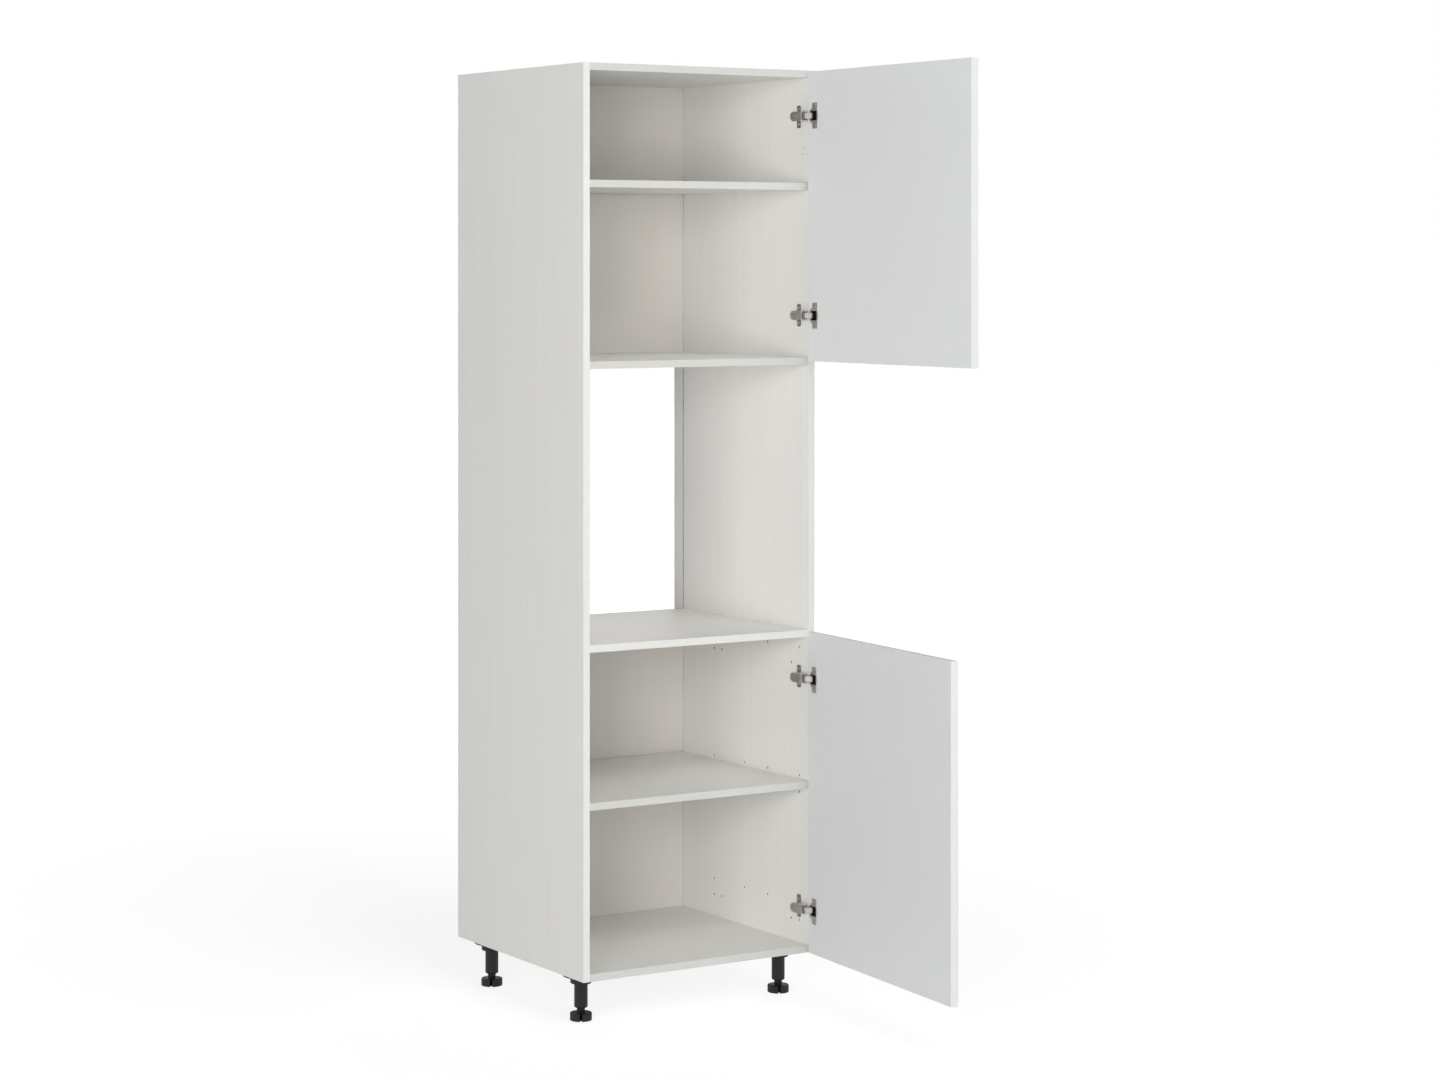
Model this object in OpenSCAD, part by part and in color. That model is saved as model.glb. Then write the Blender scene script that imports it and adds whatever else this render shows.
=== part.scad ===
// Tall housing cabinet for a built-in oven: a laminated chipboard carcass on four adjustable legs,
// an open niche in the middle, and a compartment with a loose shelf and a hinged door above and below it.
// Millimetres. X runs to the right, Y to the back, Z up. The origin is on the floor, midway between the legs.

/* [Carcass] */
// outside width of the carcass
body_w = 600; // [450:1:900]
// depth of the side panels
body_d = 565; // [450:1:620]
// height of the carcass above its legs
body_h = 1970; // [1850:1:2300]
// thickness of every laminated board
board_t = 16; // [15:1:19]
// distance of the backs from the rear edges of the sides
back_set = 41; // [15:1:60]
// thickness of the hardboard backs
back_t = 3; // [2.5:0.5:8]
// depth of the grooves that the backs slide in
groove_depth = 8; // [5:0.5:9]
// gap between a loose shelf and each side panel
shelf_gap = 0.5; // [0.3:0.1:2]

/* [Levels above the carcass bottom] */
// top face of the loose shelf in the lower compartment
low_shelf_z = 382.5; // [200:0.5:500]
// top face of the panel that the oven stands on
niche_floor_z = 721; // [600:1:900]
// clear height of the oven niche
niche_h = 592; // [380:1:600]
// how far the top face of the upper loose shelf lies below the top of the carcass
up_shelf_drop = 251; // [150:1:350]

/* [Doors] */
// thickness of the doors
door_t = 18; // [16:0.5:22]
// gap between the outside of the carcass and the edge of a closed door
door_reveal = 1.5; // [1:0.5:3]
// gap between a closed door and the carcass
door_gap = 2; // [1:0.5:3]
// height of the lower door's lower edge above the carcass bottom
door_foot = 2.5; // [0:0.5:10]
// how far the lower door's upper edge lies below the top face of the oven's panel
low_door_drop = 3.5; // [0:0.5:12]
// height of the upper door's lower edge above the ceiling of the niche
up_door_rise = 8.5; // [1:0.5:14]
// how far the upper door's upper edge lies below the top of the carcass
door_top_drop = 3.5; // [0:0.5:10]
// how far the upper door stands open, in degrees
up_open = 90; // [0:1:100]
// how far the lower door stands open, in degrees
low_open = 85; // [0:1:100]

/* [Hinges] */
// distance of the lowest hinge from the lower edge of the lower door
low_hinge_a = 96; // [70:0.5:150]
// distance of the next hinge from the upper edge of the lower door
low_hinge_b = 104; // [70:0.5:150]
// distance of the third hinge from the lower edge of the upper door
up_hinge_a = 101.5; // [70:0.5:150]
// distance of the highest hinge from the upper edge of the upper door
up_hinge_b = 98.5; // [70:0.5:110]
// distance of the middle of a hinge cup from the edge of the door
cup_edge = 21.5; // [21:0.5:22.5]
// diameter of a hinge cup
cup_d = 35; // [35:0.5:38]
// depth of a hinge cup in the door
cup_depth = 13; // [12.5:0.5:14]
// distance between the two screws of a hinge cup
cup_screw_pitch = 48; // [44:1:54]
// distance between the two screws of a mounting plate
plate_screw_pitch = 32; // [30:1:40]
// width of a hinge arm
arm_w = 20.4; // [20:0.2:24]
// how far a hinge arm reaches behind the front edge of the side panel
arm_l = 38; // [36:0.1:60]
// turn of the lever while the door opens by 90 degrees
lever_turn = 40; // [38:0.5:44]

/* [Legs] */
// height of the carcass above the floor
leg_h = 100; // [90:1:150]
// distance of a leg's axis from the outside of the cabinet
leg_in_x = 42.5; // [42.5:0.5:80]
// distance of a leg's axis from the front or the rear of the side panels
leg_in_y = 83; // [80:0.5:120]
// diameter of the flange under the carcass
flange_d = 80; // [76:1:84]
// distance of the flange screws from a leg's axis
flange_screw_r = 30; // [28:0.5:33]
// outside diameter of a leg tube
tube_d = 29.5; // [24:0.5:32]
// diameter of the threaded spindle of a foot
spindle_d = 18.4; // [12:0.1:20]
// diameter of a foot pad
pad_d = 48; // [40:1:60]
// height of a foot pad
pad_h = 17; // [12:0.5:18]
// height of the lower end of a leg tube above the floor
tube_z = 27.5; // [24:0.5:40]

/* [Holes] */
// diameter of the holes in the rows
row_hole_d = 5; // [3:0.5:6]
// depth of the holes in the rows
row_hole_depth = 11; // [8:0.5:12]
// distance of the front row of holes from the front edge
row_y = 37; // [35:0.5:40]
// distance between the rows of holes, and between the screws of other fittings
row_pitch = 32; // [30:0.5:34]
// diameter of the dowels
dowel_d = 8; // [6:0.5:9]
// distance of the first and the last dowel from the ends of a board
dowel_in = 50; // [30:1:52]
// depth of a dowel in a side panel
dowel_in_side = 10; // [8:0.5:12]
// depth of a dowel in the end of a board
dowel_in_board = 20; // [15:1:30]

/* [Hidden] */
$fn = 32;
low_door_z0 = door_foot;
low_door_z1 = niche_floor_z - low_door_drop;
// radial clearances: a dowel, screw or pin in its bore, a part that turns or slides, a free part
fit = 0.03;
run = 0.05;
free = 0.08;
hw = body_w / 2;
xi = hw - board_t;                        // inner face of a side panel
yo = body_d / 2;                          // the front plane is at y = -yo
shelf_d = body_d - back_set;              // depth of the boards between the sides
niche_top_z = niche_floor_z + niche_h;    // underside of the panel above the niche
up_door_z0 = niche_top_z + up_door_rise;
up_door_z1 = body_h - door_top_drop;
up_shelf_z = body_h - up_shelf_drop;
door_w = body_w - 2 * door_reveal;
dowel_ys = [dowel_in, shelf_d / 2, shelf_d - dowel_in];
board_zs = [0, niche_floor_z - board_t, niche_top_z, body_h - board_t];
back_screw_in = 44;                       // distance of the outer back screws from the sides
screw_xs = [-xi + back_screw_in, 0, xi - back_screw_in];
last_row = floor((shelf_d - 60 - row_y) / row_pitch);
pin_ys = [row_y + row_pitch, row_y + last_row * row_pitch];
pin_r = row_hole_d / 2 - 0.01;
pin_up = 5;                               // height of a pin's axis above the shelf's underside
// the free holes: height above the carcass bottom, and the numbers of the rows that have one
row_holes = [[66, [0, 1, 10, 11]], [103, [4, 7, 11]], [354, [0]], [391, [0, 4, 7, 11]],
    [641, [1, 10, 11]], [678, [0, 4]]];
// three small pilot holes near the front of the right panel: distance below the top and from the front
pilot_holes = [[171, 16.5], [185.5, 7], [185.5, 26]];
pilot_depth = 8;
low_hinges = [low_door_z0 + low_hinge_a, low_door_z1 - low_hinge_b];
up_hinges = [up_door_z0 + up_hinge_a, up_door_z1 - up_hinge_b];
// hinge geometry in plan, measured from the front plane with the door closed
edge_x = hw - door_reveal;                // edge of the closed door
cup_x = edge_x - cup_edge;
cup_screw_in = 6;                         // how far the cup's screws lie behind the middle of the cup
screw_x = cup_x - cup_screw_in;
pivot_in = 33;                            // the arm's pivot: from the door's edge and behind the front plane
pivot_back = 2;
lever_a = [edge_x - pivot_in, pivot_back];
pivot_out = 13.7;                         // the cup's pivot: from the middle of the cup, and its depth
pivot_deep = 5.4;
lever_c = [cup_x + pivot_out, -door_gap - pivot_deep];
bend_deep = 10.6;                         // the two bends of the lever
bend_in = 10;
bend_out = 0.9;
lever_m = [lever_a[0] + bend_in, -door_gap - bend_deep];
lever_n = [cup_x + pivot_out - bend_out, -door_gap - bend_deep - 0.3];
lever_t = 0.9;                            // half the thickness of a lever
flange_in = 3;                            // the outer lever's flanges: from, step and to, off its middle
flange_mid = 4.6;
flange_out = 6.2;
eye_arm = 2.8;                            // radius of the lever's eyes
eye_cup = 2.3;
web_in = 6;                               // distance of the arm's outer face from the arm's pivot
web = lever_a[0] - web_in;
block_w = 12.6;                           // width of the mounting plate's block
sheet = 1.5;                              // thickness of the arm's steel
pin_arm = 1.5;                            // radius of the arm's pin
pin_cup = 1.3;                            // radius of the cup's pin
arm_screw_ys = [13.5, 26.5];
plate_t = 2;                              // thickness of the mounting plate's wings
leg_x = hw - leg_in_x;
leg_y = yo - leg_in_y;
hub_h = 20;                               // how far a flange's hub hangs below the carcass
hub_out = 8.6;                            // thickness of the hub round the tube

white = [0.87, 0.87, 0.86];
white_door = [0.84, 0.85, 0.85];
back_white = [0.74, 0.73, 0.70];
beech = [0.78, 0.64, 0.45];
steel = [0.62, 0.62, 0.60];
steel_light = [0.78, 0.78, 0.77];
black = [0.13, 0.13, 0.13];

function turned(v, a) = [v[0] * cos(a) - v[1] * sin(a), v[0] * sin(a) + v[1] * cos(a)];

// a box from its two corners
module span(a, b) { translate(a) cube([b[0] - a[0], b[1] - a[1], b[2] - a[2]]); }

// cylinders along X and Y, from one end to the other
module rod_x(x0, x1, y, z, r, n = 24) {
    translate([x0, y, z]) rotate([0, 90, 0]) cylinder(r = r, h = x1 - x0, $fn = n);
}
module rod_y(x, y0, y1, z, r, n = 24) {
    translate([x, y0, z]) rotate([-90, 0, 0]) cylinder(r = r, h = y1 - y0, $fn = n);
}

// the place of a closed door's pieces once it stands open
module opened(angle) {
    c = lever_a + turned(lever_c - lever_a, -lever_turn * angle / 90);
    translate([c[0], c[1], 0]) rotate([0, 0, angle]) translate([-lever_c[0], -lever_c[1], 0]) children();
}

// the place of a lever of the closed hinge once the door stands open
module lever_opened(angle) {
    translate([lever_a[0], lever_a[1], 0]) rotate([0, 0, -lever_turn * angle / 90])
        translate([-lever_a[0], -lever_a[1], 0]) children();
}

// everything on the carcass is drawn from its front plane and its bottom
module on_carcass() { translate([0, -yo, leg_h]) children(); }

// one side panel: groove for the backs, blind dowel holes and the rows of holes, all in the inner face
module side_panel(s, hinge_zs) {
    difference() {
        span([s > 0 ? xi : -hw, 0, 0], [s > 0 ? hw : -xi, body_d, body_h]);
        span([s > 0 ? xi - 1 : -xi - groove_depth, shelf_d, -1],
            [s > 0 ? xi + groove_depth : -xi + 1, shelf_d + back_t + 0.2, body_h + 1]);
        for (z = board_zs, y = dowel_ys) side_hole(s, y, z + board_t / 2, dowel_d / 2, dowel_in_side);
        for (h = row_holes, i = h[1])
            side_hole(s, row_y + i * row_pitch, h[0], row_hole_d / 2, row_hole_depth);
        for (z = [low_shelf_z, up_shelf_z], y = pin_ys)
            side_hole(s, y, z - board_t + pin_up, row_hole_d / 2, 8);
        for (z = hinge_zs, d = [-1, 1]) side_hole(s, row_y, z + d * plate_screw_pitch / 2, 2.5, 12);
        if (s > 0) for (h = pilot_holes) side_hole(s, h[1], body_h - h[0], 1.5, pilot_depth);
    }
}
module side_hole(s, y, z, r, depth) {
    if (s > 0) rod_x(xi - 1, xi + depth, y, z, r);
    else rod_x(-xi - depth, -xi + 1, y, z, r);
}

module side_panel_left() { color(white) on_carcass() side_panel(-1, []); }
module side_panel_right() { color(white) on_carcass() side_panel(1, concat(low_hinges, up_hinges)); }

// a fixed board between the sides, with dowel holes in its ends and screw holes in its rear edge
module fixed_board(z) {
    difference() {
        span([-xi, 0, z], [xi, shelf_d, z + board_t]);
        for (y = dowel_ys) {
            rod_x(xi - dowel_in_board, xi + 1, y, z + board_t / 2, dowel_d / 2);
            rod_x(-xi - 1, -xi + dowel_in_board, y, z + board_t / 2, dowel_d / 2);
        }
        for (x = screw_xs) rod_y(x, shelf_d - 13, shelf_d + 1, z + board_t / 2, 1.5);
    }
}
module niche_floor_panel() { color(white) on_carcass() fixed_board(board_zs[1]); }
module niche_top_panel() { color(white) on_carcass() fixed_board(board_zs[2]); }
module top_panel() { color(white) on_carcass() fixed_board(board_zs[3]); }

// the bottom has the screw holes of the legs as well
module bottom_panel() {
    color(white) difference() {
        on_carcass() fixed_board(board_zs[0]);
        at_legs() at_flange_screws() translate([0, 0, leg_h - 1]) cylinder(r = 1.9, h = 13);
    }
}

// beech dowels, partly in the side panel and partly in the end of the board
module dowels() {
    color(beech) on_carcass() for (z = board_zs, y = dowel_ys) {
        rod_x(xi - dowel_in_board, xi + dowel_in_side, y, z + board_t / 2, dowel_d / 2 - fit, 20);
        rod_x(-xi - dowel_in_side, -xi + dowel_in_board, y, z + board_t / 2, dowel_d / 2 - fit, 20);
    }
}

// a thin back that slides in the grooves behind its two boards
module back_panel(z0, z1) {
    side = xi + groove_depth - 0.5;
    difference() {
        span([-side, shelf_d, z0], [side, shelf_d + back_t, z1]);
        for (x = screw_xs, z = [z0 + board_t / 2, z1 - board_t / 2])
            rod_y(x, shelf_d - 1, shelf_d + back_t + 1, z, 1.6);
    }
}
module back_panel_upper() { color(back_white) on_carcass() back_panel(niche_top_z, body_h); }
module back_panel_lower() { color(back_white) on_carcass() back_panel(0, niche_floor_z); }

// small screws that hold the backs to the rear edges of the boards
module back_screws() {
    color(steel) on_carcass() for (x = screw_xs, z = board_zs) {
        rod_y(x, shelf_d - 13, shelf_d + back_t, z + board_t / 2, 1.5 - fit, 16);
        rod_y(x, shelf_d + back_t, shelf_d + back_t + 1.8, z + board_t / 2, 3.2, 20);
    }
}

// a loose shelf with a pocket under each corner, where its pin is hidden
module loose_shelf(z) {
    w = pin_r + 1.5;
    difference() {
        span([-xi + shelf_gap, 0.5, z - board_t], [xi - shelf_gap, shelf_d - 4, z]);
        for (y = pin_ys) {
            span([xi - 10, y - w, z - board_t - 1], [xi + 1, y + w, z - board_t + pin_up + pin_r + 0.01]);
            span([-xi - 1, y - w, z - board_t - 1], [-xi + 10, y + w, z - board_t + pin_up + pin_r + 0.01]);
        }
    }
}
module shelf_upper() { color(white) on_carcass() loose_shelf(up_shelf_z); }
module shelf_lower() { color(white) on_carcass() loose_shelf(low_shelf_z); }

// four steel pins under a shelf
module shelf_pins(z) {
    for (y = pin_ys) {
        rod_x(xi - 9, xi + 8, y, z - board_t + pin_up, pin_r);
        rod_x(-xi - 8, -xi + 9, y, z - board_t + pin_up, pin_r);
    }
}
module shelf_pins_upper() { color(steel) on_carcass() shelf_pins(up_shelf_z); }
module shelf_pins_lower() { color(steel) on_carcass() shelf_pins(low_shelf_z); }

// a door with the round recesses for its hinge cups and the pilot holes of their screws
module door(z0, z1, zs) {
    difference() {
        span([edge_x - door_w, -door_gap - door_t, z0], [edge_x, -door_gap, z1]);
        for (z = zs) {
            rod_y(cup_x, -door_gap - cup_depth, -door_gap + 1, z, cup_d / 2, 64);
            for (d = [-1, 1])
                rod_y(screw_x, -door_gap - 12, -door_gap + 1, z + d * cup_screw_pitch / 2, 1.75, 20);
        }
    }
}
module door_upper() {
    color(white_door) on_carcass() opened(up_open) door(up_door_z0, up_door_z1, up_hinges);
}
module door_lower() {
    color(white_door) on_carcass() opened(low_open) door(low_door_z0, low_door_z1, low_hinges);
}

// mounting plate on the side panel: two wings and a block that the arm is clamped to
module hinge_plate() {
    difference() {
        union() {
            translate([xi - plate_t, row_y, 0]) rotate([0, 90, 0]) linear_extrude(plate_t)
                offset(3) square([plate_screw_pitch + 12, 7], center = true);
            span([web + sheet, lever_a[1] + 6.5, -block_w / 2], [xi, arm_l - arm_w / 2 + 5, block_w / 2]);
            span([xi - plate_t, lever_a[1] + 6.5, -block_w / 2 - 2], [xi, row_y + 3, block_w / 2 + 2]);
        }
        for (d = [-1, 1]) rod_x(xi - 3, xi + 1, row_y, d * plate_screw_pitch / 2, 2.6);
        for (y = arm_screw_ys) rod_x(web, xi - 5, y, 0, 2);
    }
}

// two screws through the wings of the plate
module hinge_plate_screws() {
    for (d = [-plate_screw_pitch / 2, plate_screw_pitch / 2]) {
        rod_x(xi - plate_t, xi + 12, row_y, d, 2.5 - fit);
        difference() {
            rod_x(xi - plate_t - 2, xi - plate_t, row_y, d, 4.4);
            span([xi - plate_t - 3, row_y - 3, d - 0.6], [xi - plate_t - 1, row_y + 3, d + 0.6]);
            span([xi - plate_t - 3, row_y - 0.6, d - 3], [xi - plate_t - 1, row_y + 0.6, d + 3]);
        }
    }
}

// outline of the arm as seen from the middle of the cabinet, with its rounded rear end
module arm_outline(inset) {
    hull() {
        translate([0, arm_l - arm_w / 2]) circle(r = arm_w / 2 - inset, $fn = 40);
        translate([0, lever_a[1] + 1.1]) square([arm_w - 2 * inset, 2], center = true);
    }
}

// channel-shaped arm: a web, two cheeks and a nose that carries the lever's pin
module hinge_arm() {
    inner = arm_w / 2 - sheet;
    cheek = xi - plate_t - 2.5 - web;
    difference() {
        union() {
            translate([web, 0, 0]) rotate([0, 90, 0]) linear_extrude(cheek) arm_outline(0);
            span([web, 0.5 - door_gap, -arm_w / 2], [web + sheet, 5, arm_w / 2]);
            for (s = [-1, 1]) translate([0, 0, s > 0 ? inner : -arm_w / 2]) linear_extrude(sheet)
                polygon([[web, 8], [web + 3, 0.4], [web + 6.3, -1], [web + 7.5, -7.2], [web + 9.6, -9],
                    [web + 12.2, -8.2], [web + 16, -3], [web + cheek, 1], [web + cheek, 8]]);
        }
        translate([web + sheet, 0, 0]) rotate([0, 90, 0]) linear_extrude(30) arm_outline(sheet);
        span([web + sheet, -12, -inner], [web + 30, 6, inner]);
        translate([lever_a[0], lever_a[1], -12]) cylinder(r = pin_arm + run, h = 24);
        for (y = arm_screw_ys) rod_x(web - 1, web + 3, y, 0, 2);
    }
}

// side adjusting screw and clamping screw: heads on the web, shanks in the plate
module hinge_arm_screws() {
    for (y = arm_screw_ys) difference() {
        union() {
            rod_x(web - 1.2, web, y, 0, 3.6);
            rod_x(web, xi - 8, y, 0, 2 - fit);
        }
        span([web - 2, y - 2.6, -0.5], [web - 0.5, y + 2.6, 0.5]);
        span([web - 2, y - 0.5, -2.6], [web - 0.5, y + 0.5, 2.6]);
    }
}
module hinge_arm_pin() { translate([lever_a[0], lever_a[1], -arm_w / 2]) cylinder(r = pin_arm, h = arm_w); }

// closing springs beside the lever, each with a leg that rests on the web of the arm
module hinge_springs() {
    for (s = [-1, 1]) translate([lever_a[0], lever_a[1], s > 0 ? 6.6 : -8.3]) difference() {
        union() {
            cylinder(r = 2.6, h = 1.7);
            rotate(7.8) span([-2.6, 0, 0.2], [-1.3, 14, 1.5]);
        }
        translate([0, 0, -1]) cylinder(r = pin_arm + run, h = 4);
    }
}

// plan of a strip along the lever's line, between two distances from that line
function line_n(p, q) = let (d = (q - p) / norm(q - p)) [-d[1], d[0]];
function mitre(p, i, o) = i == 0 ? p[0] + o * line_n(p[0], p[1])
    : i == len(p) - 1 ? p[i] + o * line_n(p[i - 1], p[i])
    : let (a = line_n(p[i - 1], p[i]), b = line_n(p[i], p[i + 1]), m = (a + b) / norm(a + b))
        p[i] + o / (m * a) * m;
module strip(p, o0, o1) {
    polygon(concat([for (i = [0 : len(p) - 1]) mitre(p, i, o0)],
        [for (i = [len(p) - 1 : -1 : 0]) mitre(p, i, o1)]));
}
lever_line = [lever_a, lever_m, lever_n, lever_c];

// outer lever: a channel whose two flanges carry the eyes
module hinge_outer_lever() {
    difference() {
        union() {
            for (s = [-1, 1]) {
                translate([0, 0, s > 0 ? flange_mid : -flange_out]) linear_extrude(flange_out - flange_mid) {
                    strip([lever_a, lever_m, lever_n], -lever_t, lever_t);
                    translate(lever_a) circle(r = eye_arm);
                }
                translate([0, 0, s > 0 ? flange_in : -flange_mid]) linear_extrude(flange_mid - flange_in) {
                    strip(lever_line, -lever_t, lever_t);
                    translate(lever_a) circle(r = eye_arm);
                    translate(lever_c) circle(r = eye_cup);
                }
            }
            translate([0, 0, -flange_in]) linear_extrude(2 * flange_in) difference() {
                strip([lever_a, lever_m, lever_n], -lever_t, -0.1);
                translate(lever_a) circle(r = eye_arm + 0.6);
            }
        }
        translate([lever_a[0], lever_a[1], -12]) cylinder(r = pin_arm + run, h = 24);
        translate([lever_c[0], lever_c[1], -12]) cylinder(r = pin_cup + run, h = 24);
    }
}

// inner lever: a bar that lies in the outer lever's channel
module hinge_inner_lever() {
    difference() {
        translate([0, 0, -flange_in + 0.2]) linear_extrude(2 * flange_in - 0.4) {
            strip(lever_line, 0, lever_t);
            translate(lever_a) circle(r = eye_arm - 0.1);
            translate(lever_c) circle(r = eye_cup);
        }
        translate([lever_a[0], lever_a[1], -12]) cylinder(r = pin_arm + run, h = 24);
        translate([lever_c[0], lever_c[1], -12]) cylinder(r = pin_cup + run, h = 24);
    }
}
module hinge_cup_pin() { translate([lever_c[0], lever_c[1], -8.6]) cylinder(r = pin_cup, h = 17.2); }

// outline of the cup's flange in plan view of the closed door: x from the middle of the cup
module flange_outline() {
    r = cup_d / 2 + 0.7;
    translate([1.2 - cup_screw_in, 0]) offset(3) square([12.5, cup_screw_pitch + 4], center = true);
    intersection() {
        circle(r = r, $fn = 64);
        translate([-12, -r]) square(2 * r);
    }
}

// die-cast cup with its flange, the pocket for arm and lever, and the bore of the lever's pin
module hinge_cup() {
    deep = door_gap + cup_depth - 0.7;
    difference() {
        union() {
            rod_y(cup_x, -door_gap - cup_depth, -door_gap, 0, cup_d / 2 - free, 64);
            translate([cup_x, -door_gap + 1, 0]) rotate([90, 0, 0]) linear_extrude(1) flange_outline();
        }
        intersection() {
            union() {
                span([cup_x + 7.5, -deep, -6.6], [cup_x + 16.3, 2, 6.6]);
                span([cup_x - 12.8, -deep, -10.6], [cup_x + 9.5, 2, 10.6]);
            }
            rod_y(cup_x, -door_gap - 20, 3, 0, cup_d / 2 - 0.5, 64);
        }
        translate([lever_c[0], lever_c[1], -8.62]) cylinder(r = pin_cup + run, h = 17.24);
        for (d = [-1, 1]) rod_y(screw_x, -door_gap - 1, 2, d * cup_screw_pitch / 2, 1.9);
    }
}
module hinge_cup_screws() {
    for (d = [-cup_screw_pitch / 2, cup_screw_pitch / 2]) difference() {
        union() {
            rod_y(screw_x, -door_gap - 12, -door_gap + 1, d, 1.75 - fit, 20);
            rod_y(screw_x, -door_gap + 1, -door_gap + 2.4, d, 3.4, 24);
        }
        span([screw_x - 2, -door_gap + 1.6, d - 0.5], [screw_x + 2, 3, d + 0.5]);
        span([screw_x - 0.5, -door_gap + 1.6, d - 2], [screw_x + 0.5, 3, d + 2]);
    }
}

// one kind of hinge piece at both hinges of a door
module at_hinges(zs) { for (z = zs) translate([0, 0, z]) children(); }
module hinge_plates_upper() { color(steel) on_carcass() at_hinges(up_hinges) hinge_plate(); }
module hinge_plate_screws_upper() { color(steel_light) on_carcass() at_hinges(up_hinges) hinge_plate_screws(); }
module hinge_arms_upper() { color(steel) on_carcass() at_hinges(up_hinges) hinge_arm(); }
module hinge_arm_screws_upper() { color(steel_light) on_carcass() at_hinges(up_hinges) hinge_arm_screws(); }
module hinge_arm_pins_upper() { color(steel_light) on_carcass() at_hinges(up_hinges) hinge_arm_pin(); }
module hinge_springs_upper() { color(steel) on_carcass() at_hinges(up_hinges) hinge_springs(); }
module hinge_outer_levers_upper() {
    color(steel_light) on_carcass() at_hinges(up_hinges) lever_opened(up_open) hinge_outer_lever();
}
module hinge_inner_levers_upper() {
    color(steel_light) on_carcass() at_hinges(up_hinges) lever_opened(up_open) hinge_inner_lever();
}
module hinge_cup_pins_upper() { color(steel) on_carcass() at_hinges(up_hinges) opened(up_open) hinge_cup_pin(); }
module hinge_cups_upper() { color(steel) on_carcass() at_hinges(up_hinges) opened(up_open) hinge_cup(); }
module hinge_cup_screws_upper() {
    color(steel_light) on_carcass() at_hinges(up_hinges) opened(up_open) hinge_cup_screws();
}
module hinge_plates_lower() { color(steel) on_carcass() at_hinges(low_hinges) hinge_plate(); }
module hinge_plate_screws_lower() { color(steel_light) on_carcass() at_hinges(low_hinges) hinge_plate_screws(); }
module hinge_arms_lower() { color(steel) on_carcass() at_hinges(low_hinges) hinge_arm(); }
module hinge_arm_screws_lower() { color(steel_light) on_carcass() at_hinges(low_hinges) hinge_arm_screws(); }
module hinge_arm_pins_lower() { color(steel_light) on_carcass() at_hinges(low_hinges) hinge_arm_pin(); }
module hinge_springs_lower() { color(steel) on_carcass() at_hinges(low_hinges) hinge_springs(); }
module hinge_outer_levers_lower() {
    color(steel_light) on_carcass() at_hinges(low_hinges) lever_opened(low_open) hinge_outer_lever();
}
module hinge_inner_levers_lower() {
    color(steel_light) on_carcass() at_hinges(low_hinges) lever_opened(low_open) hinge_inner_lever();
}
module hinge_cup_pins_lower() { color(steel) on_carcass() at_hinges(low_hinges) opened(low_open) hinge_cup_pin(); }
module hinge_cups_lower() { color(steel) on_carcass() at_hinges(low_hinges) opened(low_open) hinge_cup(); }
module hinge_cup_screws_lower() {
    color(steel_light) on_carcass() at_hinges(low_hinges) opened(low_open) hinge_cup_screws();
}

// the four places of the legs; the left and right ones are mirror images
module at_legs() {
    for (sx = [-1, 1], sy = [-1, 1]) translate([sx * leg_x, sy * leg_y, 0]) scale([sx, 1, 1]) children();
}

// the four screws of a flange
module at_flange_screws() {
    for (a = [45 : 90 : 315]) rotate(a) translate([flange_screw_r, 0, 0]) children();
}

// flange of a leg under the carcass, with a thick hub that holds the tube
module leg_flange() {
    r = flange_d / 2;
    hub = tube_d / 2 + hub_out;
    difference() {
        translate([0, 0, leg_h]) mirror([0, 0, 1]) rotate_extrude($fn = 64)
            polygon([[0, 0], [r, 0], [r, 3.2], [r - 3, 5.2], [hub + 2, 7], [hub, 8.5], [hub, hub_h - 1.5],
                [hub - 1.5, hub_h], [0, hub_h]]);
        translate([0, 0, leg_h - hub_h - 1]) cylinder(r = tube_d / 2 + fit, h = hub_h - 5, $fn = 48);
        at_flange_screws() {
            translate([0, 0, leg_h - 6]) cylinder(r = 1.9, h = 7);
            translate([0, 0, leg_h - hub_h - 1]) cylinder(r = 4.4, h = hub_h + 1 - 4);
        }
    }
}
module leg_flanges() { color(black) at_legs() leg_flange(); }

// screws of the flanges, sunk in pockets of the flange and driven into the bottom panel
module leg_flange_screws() {
    color(steel) at_legs() at_flange_screws() {
        translate([0, 0, leg_h - 4]) cylinder(r = 1.9 - fit, h = 16, $fn = 20);
        translate([0, 0, leg_h - 6]) cylinder(r = 3.6, h = 2, $fn = 24);
    }
}

// hollow tube of a leg, chamfered at its lower end
module leg_tubes() {
    r = tube_d / 2;
    color(black) at_legs() difference() {
        union() {
            translate([0, 0, tube_z + 2]) cylinder(r = r, h = leg_h - 6 - tube_z - 2, $fn = 48);
            translate([0, 0, tube_z]) cylinder(r1 = r - 2, r2 = r, h = 2, $fn = 48);
        }
        translate([0, 0, tube_z - 1]) cylinder(r = spindle_d / 2 + free, h = leg_h - 12 - tube_z + 1, $fn = 40);
    }
}

// threaded foot: a spindle in the tube and a round pad of four lobes
module foot(x, y, turn) {
    r = pad_d / 2;
    translate([x, y, 0]) {
        cylinder(r = spindle_d / 2, h = leg_h - 30, $fn = 40);
        rotate(turn) difference() {
            rotate_extrude($fn = 64)
                polygon([[0, 0], [r, 0], [r, pad_h - 2], [r - 1.2, pad_h - 0.6], [r - 3, pad_h], [0, pad_h]]);
            for (a = [0 : 90 : 270]) rotate(a) translate([0, 0, -1]) linear_extrude(pad_h + 2)
                polygon([[spindle_d / 2 + 1.4, 0], [r + 2, 3.7], [r + 2, -3.7]]);
        }
    }
}
foot_turns = [240, 243, 237, 260];        // how far each foot is screwed round
module foot_front_left() { color(black) foot(-leg_x, -leg_y, foot_turns[0]); }
module foot_front_right() { color(black) foot(leg_x, -leg_y, foot_turns[1]); }
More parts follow.
